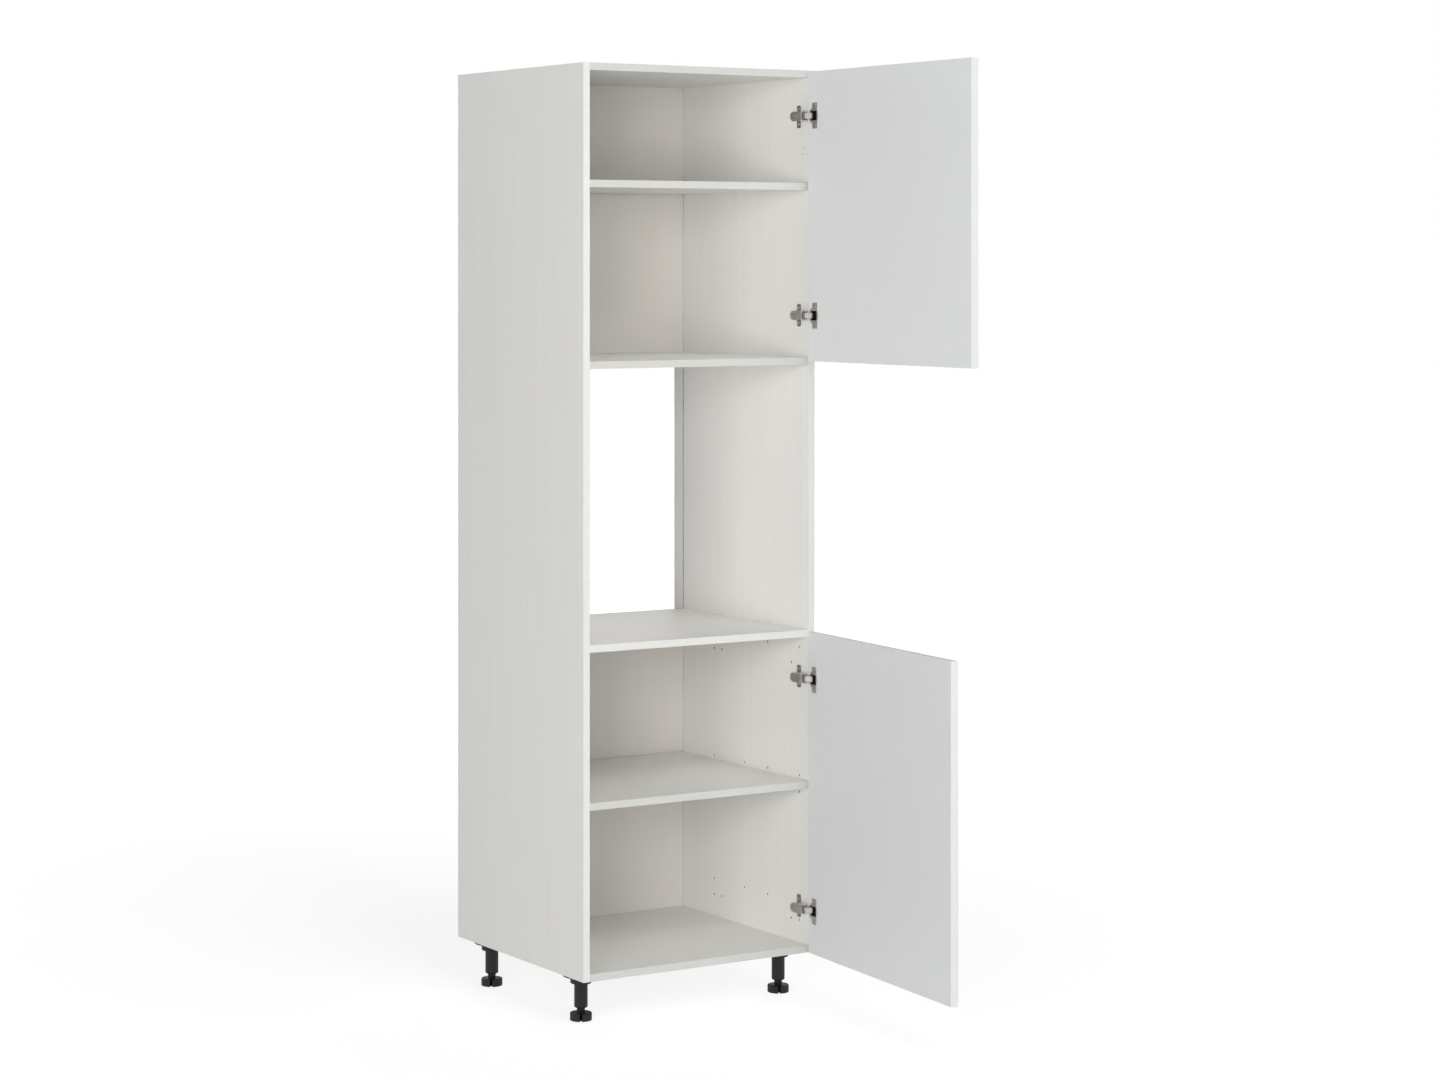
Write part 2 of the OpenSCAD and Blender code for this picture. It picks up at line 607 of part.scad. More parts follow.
module foot_rear_left() { color(black) foot(-leg_x, leg_y, foot_turns[2]); }
module foot_rear_right() { color(black) foot(leg_x, leg_y, foot_turns[3]); }

side_panel_left();
side_panel_right();
top_panel();
niche_top_panel();
niche_floor_panel();
bottom_panel();
back_panel_upper();
back_panel_lower();
dowels();
back_screws();
shelf_upper();
shelf_lower();
shelf_pins_upper();
shelf_pins_lower();
door_upper();
door_lower();
hinge_plates_upper();
hinge_plate_screws_upper();
hinge_arms_upper();
hinge_arm_screws_upper();
hinge_arm_pins_upper();
hinge_springs_upper();
hinge_outer_levers_upper();
hinge_inner_levers_upper();
hinge_cup_pins_upper();
hinge_cups_upper();
hinge_cup_screws_upper();
hinge_plates_lower();
hinge_plate_screws_lower();
hinge_arms_lower();
hinge_arm_screws_lower();
hinge_arm_pins_lower();
hinge_springs_lower();
hinge_outer_levers_lower();
hinge_inner_levers_lower();
hinge_cup_pins_lower();
hinge_cups_lower();
hinge_cup_screws_lower();
leg_flanges();
leg_flange_screws();
leg_tubes();
foot_front_left();
foot_front_right();
foot_rear_left();
foot_rear_right();
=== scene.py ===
# Appliance housing cabinet, dressed for the camera: every board, fitting, screw and leg is a finished
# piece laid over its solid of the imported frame. Metres, X to the right, Y to the back, Z up from the floor.
import math

import bmesh
import bpy
from mathutils import Matrix, Vector


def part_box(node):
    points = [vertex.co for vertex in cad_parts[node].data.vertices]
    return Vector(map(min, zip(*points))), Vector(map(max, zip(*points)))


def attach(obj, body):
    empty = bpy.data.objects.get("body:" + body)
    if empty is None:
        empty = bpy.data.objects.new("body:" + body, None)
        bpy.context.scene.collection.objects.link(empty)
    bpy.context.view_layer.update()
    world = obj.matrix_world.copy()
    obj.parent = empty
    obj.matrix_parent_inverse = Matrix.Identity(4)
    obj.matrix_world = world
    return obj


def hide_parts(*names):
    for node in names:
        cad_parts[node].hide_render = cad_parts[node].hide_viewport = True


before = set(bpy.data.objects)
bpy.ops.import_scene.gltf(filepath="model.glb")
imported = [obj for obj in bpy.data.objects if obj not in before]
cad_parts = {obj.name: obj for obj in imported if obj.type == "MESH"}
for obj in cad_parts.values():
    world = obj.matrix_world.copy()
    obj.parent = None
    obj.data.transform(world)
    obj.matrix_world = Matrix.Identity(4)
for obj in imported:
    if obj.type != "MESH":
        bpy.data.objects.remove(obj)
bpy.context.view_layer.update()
scene = bpy.context.scene
scene.view_settings.view_transform = "Standard"

# ---- Camera -------------------------------------------------------------------------------------------
# The view of the photograph: from 7.3 m away, to the left of the cabinet, level and 1.64 m above the floor.
# The lens is shifted so that the upright edges stay upright and the cabinet fills the picture.
lens = bpy.data.cameras.new("camera")
lens.sensor_width = 36
lens.lens = 81.10
lens.shift_x = 0.0369
lens.shift_y = -0.1929
camera = bpy.data.objects.new("camera", lens)
camera.location = (-3.8195, -6.2534, 1.641)
camera.rotation_euler = (math.radians(90), 0, math.radians(-31.975))
scene.collection.objects.link(camera)
scene.camera = camera


# ---- Light and floor ----------------------------------------------------------------------------------
# A white studio: an even sky, two wide soft boxes beside the camera, one high in front and one for the far
# sides. The pale floor fades into the white background and keeps the cabinet's soft shadow.
def put(tree, kind, sockets=(), **settings):
    """adds a node, with its settings, and fills its sockets with links or plain values"""
    node = tree.nodes.new(kind)
    for key, value in settings.items():
        setattr(node, key, value)
    for key, value in dict(sockets).items():
        if isinstance(value, bpy.types.NodeSocket):
            tree.links.new(value, node.inputs[key])
        else:
            node.inputs[key].default_value = value
    return node


def calc(tree, operation, a, b=0.0):
    """one step of arithmetic between two links or values"""
    return put(tree, "ShaderNodeMath", {0: a, 1: b}, operation=operation).outputs[0]


def seen_directly(tree):
    """1 for rays from the camera, from a shiny surface or through glass"""
    rays = put(tree, "ShaderNodeLightPath").outputs
    shiny = calc(tree, "ADD", rays["Is Camera Ray"], rays["Is Glossy Ray"])
    return put(tree, "ShaderNodeMath", {0: shiny, 1: rays["Is Transmission Ray"]},
               operation="ADD", use_clamp=True).outputs[0]


SKY = 0.128                  # strength of the even light from all round
AIM = Vector((0, 0, 1.1))    # the point of the cabinet that the soft boxes face
# name, place, size and power of each soft box
SOFT_BOXES = (("soft_box_left", (-6.13, -5.14, 1.38), 4.0, 280),
              ("soft_box_camera", (-4.59, -6.55, 1.38), 4.0, 208),
              ("soft_box_high", (0, -9.19, 8.81), 5.6, 510),
              ("soft_box_rear", (5.9, 5.0, 2.6), 4.0, 170))
FLOOR_RADIUS = 30
FLOOR_GAP = 0.0003           # keeps the floor just clear of the feet

world = bpy.data.worlds.new("studio")
scene.world = world
world.use_nodes = True
tree = world.node_tree
tree.nodes.clear()
lit = put(tree, "ShaderNodeBackground", {"Color": (0.985, 0.99, 1.0, 1), "Strength": SKY})
white = put(tree, "ShaderNodeBackground", {"Color": (1, 1, 1, 1), "Strength": 1.0})
sky = put(tree, "ShaderNodeMixShader", {0: seen_directly(tree), 1: lit.outputs[0], 2: white.outputs[0]})
put(tree, "ShaderNodeOutputWorld", {"Surface": sky.outputs[0]})

for name, place, size, power in SOFT_BOXES:
    box = bpy.data.lights.new(name, "AREA")
    box.size = size
    box.energy = power
    lamp = bpy.data.objects.new(name, box)
    lamp.location = place
    lamp.visible_glossy = False
    lamp.rotation_euler = (AIM - lamp.location).to_track_quat("-Z", "Y").to_euler()
    scene.collection.objects.link(lamp)

# the paper is matt to all light, and seen directly it glows up to white away from the cabinet
paper = bpy.data.materials.new("white_paper")
paper.use_nodes = True
tree = paper.node_tree
tree.nodes.clear()
matt = put(tree, "ShaderNodeBsdfDiffuse", {"Color": (0.74, 0.74, 0.74, 1)})
faint = put(tree, "ShaderNodeBsdfDiffuse", {"Color": (0.30, 0.30, 0.30, 1)})
place = put(tree, "ShaderNodeTexCoord").outputs["Object"]
away = put(tree, "ShaderNodeVectorMath", {0: place}, operation="LENGTH")
level = put(tree, "ShaderNodeMapRange", {"Value": away.outputs["Value"], "From Min": 0.8, "From Max": 5.0,
                                         "To Min": 0.82, "To Max": 1.0})
glow = put(tree, "ShaderNodeEmission", {"Color": (1, 1, 1, 1), "Strength": level.outputs[0]})
shown = put(tree, "ShaderNodeAddShader", {0: faint.outputs[0], 1: glow.outputs[0]})
mixed = put(tree, "ShaderNodeMixShader", {0: seen_directly(tree), 1: matt.outputs[0], 2: shown.outputs[0]})
put(tree, "ShaderNodeOutputMaterial", {"Surface": mixed.outputs[0]})

floor_mesh = bpy.data.meshes.new("floor")
bm = bmesh.new()
bmesh.ops.create_circle(bm, cap_ends=True, radius=FLOOR_RADIUS, segments=96)
bm.to_mesh(floor_mesh)
bm.free()
floor_mesh.materials.append(paper)
floor = bpy.data.objects.new("floor", floor_mesh)
floor.location = (0, 0, -FLOOR_GAP)
scene.collection.objects.link(floor)

# ---- Side panels --------------------------------------------------------------------------------------
# Two uprights of 16 mm chipboard with a warm white laminate that has a fine upright grain. The front edge
# carries a plastic band, the rear edge is raw, and rows of holes are drilled in the inside.
BAND = 0.0008          # thickness of the edge band
CORNER = 0.0006        # rounding of a board's long edges
LONG_EDGE = 0.009      # shorter edges, such as those round the holes, stay sharp
SQUARE = 60            # degrees of turn from which an edge of a board is rounded
CREASE = 40            # degrees of turn from which an edge is shaded as sharp
FLUSH = 0.0002         # a face this close to the board's box is one of its sides
FACING = 0.9           # share of its normal from which a face looks to the front or the rear
WELD = 3e-6            # points of a mesh closer than this are one point
FRONT = -0.2825        # front plane of the carcass
FACE, FRONT_SIDE, RAW = 0, 1, 2            # places of the three finishes of a board
GRAIN_UP = (170.0, 170.0, 5.0)             # how close the grain's lines lie along X, Y and Z
GRAIN_ACROSS = (5.0, 170.0, 170.0)
WARM_WHITE = (0.885, 0.877, 0.849)
WARM_WHITE_LOW = (0.805, 0.795, 0.763)     # the same white in the lines of the grain


def shader_group(name, takes, makes):
    """an empty shader group with its named sockets"""
    tree = bpy.data.node_groups.new(name, "ShaderNodeTree")
    for label, kind in takes:
        tree.interface.new_socket(label, in_out="INPUT", socket_type="NodeSocket" + kind)
    for label, kind in makes:
        tree.interface.new_socket(label, in_out="OUTPUT", socket_type="NodeSocket" + kind)
    return tree, tree.nodes.new("NodeGroupInput").outputs, tree.nodes.new("NodeGroupOutput").inputs


def noise(tree, place, scale, detail=2.0, distortion=0.0):
    """a cloudy pattern, from 0 to 1"""
    return put(tree, "ShaderNodeTexNoise", {"Vector": place, "Scale": scale, "Detail": detail,
                                            "Distortion": distortion}).outputs[0]


def tint(tree, share, low, light):
    """a colour between two, as a pattern says"""
    return put(tree, "ShaderNodeMix", {0: share, 6: (*low, 1), 7: (*light, 1)}, data_type="RGBA").outputs[2]


grain, given, gives = shader_group("grain", [("Position", "Vector"), ("Stretch", "Vector")],
                                   [("Tone", "Float"), ("Relief", "Float")])
drawn = put(grain, "ShaderNodeVectorMath", {0: given["Position"], 1: given["Stretch"]},
            operation="MULTIPLY").outputs[0]
fine = noise(grain, drawn, 5.5)
pores = put(grain, "ShaderNodeMapRange", {"Value": fine, "From Min": 0.30, "From Max": 0.52})
near = put(grain, "ShaderNodeMix", {0: 0.35, 2: noise(grain, drawn, 1.0, 3.0), 3: pores.outputs[0]})
both = put(grain, "ShaderNodeMix", {0: 0.5, 2: near.outputs[0], 3: noise(grain, drawn, 0.4, 1.0)})
grain.links.new(both.outputs[0], gives["Tone"])
grain.links.new(pores.outputs[0], gives["Relief"])

chips, given, gives = shader_group("chips", [("Position", "Vector")],
                                   [("Color", "Color"), ("Relief", "Float")])
flakes = put(chips, "ShaderNodeTexVoronoi", {"Vector": given["Position"], "Scale": 620.0})
shade = put(chips, "ShaderNodeSeparateColor", {0: flakes.outputs["Color"]})
ramp = put(chips, "ShaderNodeValToRGB", {0: shade.outputs[0]})
ramp.color_ramp.elements[0].color = (0.20, 0.145, 0.095, 1)
ramp.color_ramp.elements[1].color = (0.60, 0.51, 0.39, 1)
ramp.color_ramp.elements.new(0.45).color = (0.40, 0.32, 0.225, 1)
chips.links.new(ramp.outputs[0], gives["Color"])
chips.links.new(flakes.outputs["Distance"], gives["Relief"])


def new_finish(name):
    """a node material: its tree, its shader and the piece's own coordinates"""
    finish = bpy.data.materials.new(name)
    finish.use_nodes = True
    tree = finish.node_tree
    return finish, tree, tree.nodes["Principled BSDF"], put(tree, "ShaderNodeTexCoord").outputs["Object"]


def join(tree, shader, color, roughness, height, strength, distance):
    """links a pattern to the shader's colour, roughness and bump"""
    bump = put(tree, "ShaderNodeBump", {"Strength": strength, "Distance": distance, "Height": height})
    tree.links.new(color, shader.inputs["Base Color"])
    tree.links.new(roughness, shader.inputs["Roughness"])
    tree.links.new(bump.outputs[0], shader.inputs["Normal"])


def laminate(name, stretch, light, low):
    """melamine laminate with a drawn grain, which ends at the edge band of the front edge"""
    finish, tree, shader, place = new_finish(name)
    lines = put(tree, "ShaderNodeGroup", {"Position": place, "Stretch": stretch}, node_tree=grain).outputs
    depth = put(tree, "ShaderNodeSeparateXYZ", {0: place}).outputs[1]
    behind_band = calc(tree, "GREATER_THAN", depth, FRONT + BAND)
    tone = put(tree, "ShaderNodeMix", {0: behind_band, 2: 0.85, 3: lines["Tone"]}).outputs[0]
    color = tint(tree, tone, low, light)
    rough = put(tree, "ShaderNodeMapRange", {"Value": tone, "To Min": 0.52, "To Max": 0.40})
    relief = calc(tree, "MULTIPLY", behind_band, lines["Relief"])
    join(tree, shader, color, rough.outputs[0], relief, strength=0.25, distance=0.00006)
    return finish


def speckled(name, light, low, scale, rough, strength, distance=0.00004, metallic=0.0):
    """a smooth moulded, painted or plated surface with its own fine unevenness"""
    finish, tree, shader, place = new_finish(name)
    shader.inputs["Metallic"].default_value = metallic
    cloud = noise(tree, place, scale / 12)
    skin = noise(tree, place, scale, 3.0)
    spread = put(tree, "ShaderNodeMapRange", {"Value": skin, "From Min": 0.3, "From Max": 0.7,
                                              "To Min": rough[0], "To Max": rough[1]})
    join(tree, shader, tint(tree, cloud, low, light), spread.outputs[0], skin, strength, distance)
    return finish


laminate_up = laminate("laminate_upright_grain", GRAIN_UP, WARM_WHITE, WARM_WHITE_LOW)
edge_band = speckled("white_edge_band", light=(0.785, 0.785, 0.756), low=(0.765, 0.765, 0.737),
                     scale=900, rough=(0.34, 0.42), strength=0.1)
raw_core, tree, shader, place = new_finish("raw_chipboard")
core = put(tree, "ShaderNodeGroup", {"Position": place}, node_tree=chips).outputs
rough = put(tree, "ShaderNodeMapRange", {"Value": noise(tree, place, 90.0), "To Min": 0.75, "To Max": 0.98})
join(tree, shader, core["Color"], rough.outputs[0], core["Relief"], strength=0.5, distance=0.0004)


def merged(node):
    """the mesh of a node of the frame with its loose triangles joined to whole faces"""
    bm = bmesh.new()
    bm.from_mesh(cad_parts[node].data)
    bmesh.ops.remove_doubles(bm, verts=bm.verts, dist=WELD)
    bmesh.ops.dissolve_limit(bm, angle_limit=math.radians(0.5), verts=bm.verts, edges=bm.edges)
    for face in bm.faces:
        face.smooth = True
    return bm


def piece(name, bm, finishes):
    """a new object from a mesh under construction"""
    mesh = bpy.data.meshes.new(name)
    bm.to_mesh(mesh)
    bm.free()
    for finish in finishes:
        mesh.materials.append(finish)
    thing = bpy.data.objects.new(name, mesh)
    scene.collection.objects.link(thing)
    return thing


def settle(thing):
    """puts what the modifiers make into the mesh and takes them off"""
    view = bpy.context.evaluated_depsgraph_get()
    mesh = bpy.data.meshes.new_from_object(
        thing.evaluated_get(view), preserve_all_data_layers=True, depsgraph=view)
    thing.modifiers.clear()
    thing.data = mesh
    return thing


def soften(thing, width, segments, limit=None):
    """rounds the edges that turn by more than a limit, or else the weighted ones, and keeps the flats flat"""
    bevel = thing.modifiers.new("rounding", "BEVEL")
    bevel.width = width
    bevel.segments = segments
    bevel.use_clamp_overlap = limit is not None
    if limit is None:
        bevel.limit_method = "WEIGHT"
    else:
        bevel.limit_method = "ANGLE"
        bevel.angle_limit = math.radians(limit)
    settle(thing)
    thing.data.set_sharp_from_angle(angle=math.radians(CREASE))
    even = thing.modifiers.new("even", "WEIGHTED_NORMAL")
    even.keep_sharp = True
    even.weight = 100
    return settle(thing)


def board(name, node, body, finishes, turn=0.0, raw_rear=False):
    """a board: its long edges rounded, its holes raw inside, and its front with a finish of its own"""
    bm = merged(node)
    back_turn = Matrix.Rotation(-turn, 3, "Z")
    local = {v: back_turn @ v.co for v in bm.verts}
    low = [min(p[i] for p in local.values()) for i in range(3)]
    high = [max(p[i] for p in local.values()) for i in range(3)]
    weight = bm.edges.layers.float.new("bevel_weight_edge")
    for edge in bm.edges:
        if len(edge.link_faces) == 2 and edge.calc_length() > LONG_EDGE:
            if edge.calc_face_angle_signed() > math.radians(SQUARE):
                edge[weight] = 1.0
    sides = [(i, end) for i in range(3) for end in (low[i], high[i])]
    for face in bm.faces:
        outside = any(all(abs(local[v][i] - end) < FLUSH for v in face.verts) for i, end in sides)
        normal = back_turn @ face.normal
        if not outside or raw_rear and normal.y > FACING:
            face.material_index = RAW
        elif normal.y < -FACING:
            face.material_index = FRONT_SIDE
        else:
            face.material_index = FACE
    thing = soften(piece(name, bm, finishes), CORNER, 3)
    # the rounding may swell past the board's box by a hair, so its points are drawn back into it
    for v in thing.data.vertices:
        spot = back_turn @ v.co
        inside = Vector([min(max(spot[i], low[i]), high[i]) for i in range(3)])
        if inside != spot:
            v.co = back_turn.transposed() @ inside
    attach(thing, body)
    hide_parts(node)
    return thing


side_finishes = (laminate_up, edge_band, raw_core)
board("side_left", "side_panel_left", "carcass", side_finishes, raw_rear=True)
board("side_right", "side_panel_right", "carcass", side_finishes, raw_rear=True)

# ---- Fixed boards -------------------------------------------------------------------------------------
# Top, niche ceiling, oven board and bottom: the same laminated chipboard, its grain running across. They
# sit between the sides on glued dowels, and only their front edges are banded. Apart from the oven board's,
# these bands take a darker copy of the sides' white band as painted shade.
laminate_across = laminate("laminate_level_grain", GRAIN_ACROSS, WARM_WHITE, WARM_WHITE_LOW)
# a darker copy of the white edge band: painted shade on the front edges of the level boards and shelves
shaded_edge_band = speckled("edge_band_painted_shade", light=(0.642, 0.645, 0.614), low=(0.624, 0.627, 0.597),
                      scale=900, rough=(0.36, 0.44), strength=0.1)
level_finishes = (laminate_across, shaded_edge_band, raw_core)
oven_finishes = (laminate_across, edge_band, raw_core)
for name, node, finishes in (("top_board", "top_panel", level_finishes),
                             ("niche_ceiling_board", "niche_top_panel", level_finishes),
                             ("oven_board", "niche_floor_panel", oven_finishes),
                             ("bottom_board", "bottom_panel", level_finishes)):
    board(name, node, "carcass", finishes, raw_rear=True)

# ---- Dowels -------------------------------------------------------------------------------------------
# Twenty-four beech dowels, turned from straight-grained rod, glued half into the sides and half into the
# ends of the boards. Their solids stay as they are.
beech, tree, shader, place = new_finish("beech")
lines = put(tree, "ShaderNodeGroup", {"Position": place, "Stretch": (18.0, 420.0, 420.0)},
            node_tree=grain).outputs
color = tint(tree, lines["Tone"], (0.38, 0.22, 0.11), (0.66, 0.46, 0.28))
rough = put(tree, "ShaderNodeMapRange", {"Value": lines["Tone"], "To Min": 0.7, "To Max": 0.5})
join(tree, shader, color, rough.outputs[0], lines["Relief"], strength=0.4, distance=0.0001)


def dress(node, finish):
    """gives a solid that stays as it is its finish"""
    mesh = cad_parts[node].data
    mesh.materials.clear()
    mesh.materials.append(finish)


dress("dowels", beech)

# ---- Backs --------------------------------------------------------------------------------------------
# Two 3 mm hardboard sheets that slide in the grooves of the sides, lacquered white towards the inside and
# bare brown fibre on the rear. Their play in the grooves shows as a thin dark line in the corners.
PLAY = 0.0008          # how far the sheets lie behind the front wall of their grooves
back_white = laminate("back_lacquer", GRAIN_UP, (0.840, 0.812, 0.772), (0.806, 0.778, 0.736))
fibre, tree, shader, place = new_finish("bare_hardboard")
strands = noise(tree, place, 420.0, 5.0, 1.5)
blotched = put(tree, "ShaderNodeMix", {0: 0.3, 2: strands, 3: noise(tree, place, 9.0)}).outputs[0]
color = tint(tree, blotched, (0.235, 0.150, 0.082), (0.52, 0.37, 0.225))
rough = put(tree, "ShaderNodeMapRange", {"Value": strands, "To Min": 0.65, "To Max": 0.95})
join(tree, shader, color, rough.outputs[0], strands, strength=0.4, distance=0.0002)
for where in ("upper", "lower"):
    bm = merged("back_panel_" + where)
    low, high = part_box("back_panel_" + where)
    for v in bm.verts:
        v.co.y = max(v.co.y, low.y + PLAY)
    for face in bm.faces:
        face.material_index = 0 if face.normal.y < -FACING else 1
    sheet = soften(piece("back_sheet_" + where, bm, (back_white, fibre)), 0.0002, 1, limit=60)
    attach(sheet, "carcass")
    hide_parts("back_panel_" + where)

# ---- Back screws --------------------------------------------------------------------------------------
# Twelve zinc-plated screws with domed cross-slotted heads hold the backs to the rear edges of the boards.
# One tree of nodes turns a screw from its measures, cuts the cross and sets it at every place.
SCREW_SIDES = 28
# shares of head radius, shank radius, head height and shank length, from the crown to the tip
PROFILE = ((0, 0, 1, 0), (0.45, 0, 1, 0), (0.80, 0, 0.86, 0), (0.96, 0, 0.58, 0), (1, 0, 0.30, 0),
           (1, 0, 0, 0), (0, 1, 0, 0), (0, 1, 0, -0.75), (0, 0.3, 0, -1), (0, 0, 0, -1))
CUTTER_LIFT = 0.95     # height of the middle of the bars that cut the cross, as a share of the head's
zinc = speckled("zinc_plate", light=(0.60, 0.60, 0.58), low=(0.50, 0.50, 0.47),
                scale=1500, rough=(0.28, 0.42), strength=0.15, metallic=1.0)


def growing_tree(name, takes):
    """an empty tree of geometry nodes with its named inputs"""
    tree = bpy.data.node_groups.new(name, "GeometryNodeTree")
    for label, kind in takes:
        tree.interface.new_socket(label, in_out="INPUT", socket_type="NodeSocket" + kind)
    tree.interface.new_socket("Geometry", in_out="OUTPUT", socket_type="NodeSocketGeometry")
    return tree, tree.nodes.new("NodeGroupInput").outputs


def set_at_places(tree, given, shape, **more):
    """ends a tree: its shape at every place, made real, with its material"""
    placed = put(tree, "GeometryNodeInstanceOnPoints", {"Points": given["Places"], "Instance": shape, **more})
    real = put(tree, "GeometryNodeRealizeInstances", {"Geometry": placed.outputs[0]})
    clad = put(tree, "GeometryNodeSetMaterial", {"Geometry": real.outputs[0], "Material": given["Material"]})
    put(tree, "NodeGroupOutput", {"Geometry": clad.outputs[0]})


screw_tree, given = growing_tree("cross_slotted_screws", [
    ("Places", "Geometry"), ("Head Radius", "Float"), ("Head Height", "Float"), ("Shank Radius", "Float"),
    ("Shank Length", "Float"), ("Slot Length", "Float"), ("Slot Width", "Float"), ("Material", "Material")])
strip = put(screw_tree, "GeometryNodeMeshGrid",
            {"Size X": 1.0, "Size Y": 1.0, "Vertices X": SCREW_SIDES + 1, "Vertices Y": len(PROFILE)})
here = put(screw_tree, "GeometryNodeInputPosition").outputs[0]
cell = put(screw_tree, "ShaderNodeSeparateXYZ", {0: here}).outputs
around = calc(screw_tree, "MULTIPLY", calc(screw_tree, "ADD", cell[0], 0.5), 2 * math.pi)
along = calc(screw_tree, "MULTIPLY", calc(screw_tree, "ADD", cell[1], 0.5), len(PROFILE) - 1.0)
step = calc(screw_tree, "ROUND", along)


def by_step(first, second, a, b):
    """the value of the profile at this step: two named sizes times their shares"""
    choose = screw_tree.nodes.new("GeometryNodeIndexSwitch")
    choose.data_type = "FLOAT"
    while len(choose.index_switch_items) < len(PROFILE):
        choose.index_switch_items.new()
    screw_tree.links.new(step, choose.inputs[0])
    for i, row in enumerate(PROFILE):
        value = calc(screw_tree, "ADD", calc(screw_tree, "MULTIPLY", given[first], row[a]),
                     calc(screw_tree, "MULTIPLY", given[second], row[b]))
        screw_tree.links.new(value, choose.inputs[i + 1])
    return choose.outputs[0]


radius = by_step("Head Radius", "Shank Radius", 0, 1)
height = by_step("Head Height", "Shank Length", 2, 3)
turned = put(screw_tree, "ShaderNodeCombineXYZ",
             {0: calc(screw_tree, "MULTIPLY", radius, calc(screw_tree, "COSINE", around)),
              1: calc(screw_tree, "MULTIPLY", radius, calc(screw_tree, "SINE", around)), 2: height})
shaped = put(screw_tree, "GeometryNodeSetPosition",
             {"Geometry": strip.outputs[0], "Position": turned.outputs[0]})
closed = put(screw_tree, "GeometryNodeMergeByDistance", {"Geometry": shaped.outputs[0], "Distance": 2e-6})
cut = put(screw_tree, "GeometryNodeMeshBoolean", {"Mesh 1": closed.outputs[0]}, operation="DIFFERENCE")
lift = put(screw_tree, "ShaderNodeCombineXYZ",
           {2: calc(screw_tree, "MULTIPLY", given["Head Height"], CUTTER_LIFT)})
for a, b in (("Slot Length", "Slot Width"), ("Slot Width", "Slot Length")):
    size = put(screw_tree, "ShaderNodeCombineXYZ", {0: given[a], 1: given[b], 2: given["Head Height"]})
    bar = put(screw_tree, "GeometryNodeMeshCube", {"Size": size.outputs[0]})
    raised = put(screw_tree, "GeometryNodeTransform",
                 {"Geometry": bar.outputs[0], "Translation": lift.outputs[0]})
    screw_tree.links.new(raised.outputs[0], cut.inputs["Mesh 2"])
aim = put(screw_tree, "GeometryNodeInputNamedAttribute", {"Name": "axis"}, data_type="FLOAT_VECTOR")
facing = put(screw_tree, "FunctionNodeAlignRotationToVector", {"Vector": aim.outputs[0]}, axis="Z")
set_at_places(screw_tree, given, cut.outputs[0], Rotation=facing.outputs[0])


def islands(node):
    """the separate solids of a node, each as a list of its points"""
    bm = bmesh.new()
    bm.from_mesh(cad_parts[node].data)
    bmesh.ops.remove_doubles(bm, verts=bm.verts, dist=WELD)
    seen, found = set(), []
    for first in bm.verts:
        if first in seen:
            continue
        seen.add(first)
        group = [first]
        for v in group:    # the group grows while it is walked
            for edge in v.link_edges:
                neighbour = edge.other_vert(v)
                if neighbour not in seen:
                    seen.add(neighbour)
                    group.append(neighbour)
        found.append([v.co.copy() for v in group])
    bm.free()
    return found


def middle_of(spots):
    """the middle of the box round some points"""
    return Vector([(min(p[i] for p in spots) + max(p[i] for p in spots)) / 2 for i in range(3)])


def grown(name, tree, points, axis, sizes, body, node=None, sharp=35):
    """runs a tree of nodes on its places and keeps the result as a plain mesh"""
    mesh = bpy.data.meshes.new(name)
    mesh.from_pydata(points, [], [])
    aims = mesh.attributes.new("axis", "FLOAT_VECTOR", "POINT")
    for entry in aims.data:
        entry.vector = axis
    thing = bpy.data.objects.new(name, mesh)
    scene.collection.objects.link(thing)
    maker = thing.modifiers.new("maker", "NODES")
    maker.node_group = tree
    named = {item.name: item.identifier for item in tree.interface.items_tree if item.in_out == "INPUT"}
    for label, value in sizes.items():
        maker[named[label]] = value
    settle(thing)
    bm = bmesh.new()
    bm.from_mesh(thing.data)
    bmesh.ops.remove_doubles(bm, verts=bm.verts, dist=WELD)
    bmesh.ops.recalc_face_normals(bm, faces=bm.faces)
    for face in bm.faces:
        face.smooth = True
    bm.to_mesh(thing.data)
    bm.free()
    thing.data.set_sharp_from_angle(angle=math.radians(sharp))
    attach(thing, body)
    if node:
        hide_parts(node)
    return thing


def screws(name, node, body, axis, head_radius, head_height, shank_radius, slot_length, slot_width=0.0008):
    """like screws at the places of a node's solids, their heads towards the axis"""
    axis = Vector(axis).normalized()
    points = []
    for spots in islands(node):
        middle = middle_of(spots)
        crown = max(p.dot(axis) for p in spots)
        shank_length = crown - head_height - min(p.dot(axis) for p in spots)
        points.append(middle + axis * (crown - head_height - middle.dot(axis)))
    sizes = {"Head Radius": head_radius, "Head Height": head_height, "Shank Radius": shank_radius,
             "Shank Length": shank_length, "Slot Length": slot_length, "Slot Width": slot_width,
             "Material": zinc}
    grown(name, screw_tree, points, axis, sizes, body, node)


screws("back_fixing_screws", "back_screws", "carcass", axis=(0, 1, 0),
       head_radius=0.0032, head_height=0.0018, shank_radius=0.00147, slot_length=0.0038)

# ---- Shelf pins ---------------------------------------------------------------------------------------
# Plain turned and nickel-plated steel pins, four for each loose shelf, pushed into holes of the sides. The
# shelf lies on them with a pocket over each. Their solids stay as they are.
plated_steel = speckled("nickel_plate", light=(0.60, 0.59, 0.56), low=(0.50, 0.49, 0.46),
                        scale=1200, rough=(0.25, 0.40), strength=0.1, metallic=1.0)
for where in ("upper", "lower"):
    dress("shelf_pins_" + where, plated_steel)

# ---- Shelves ------------------------------------------------------------------------------------------
# Two loose shelves of the same laminated chipboard as the fixed boards, banded at the front and raw at the
# rear. Each rests on its four pins, with a pocket milled for every pin, and can be lifted off them.
for where in ("upper", "lower"):
    board("loose_shelf_" + where, "shelf_" + where, "shelf_" + where, level_finishes,
          raw_rear=True)

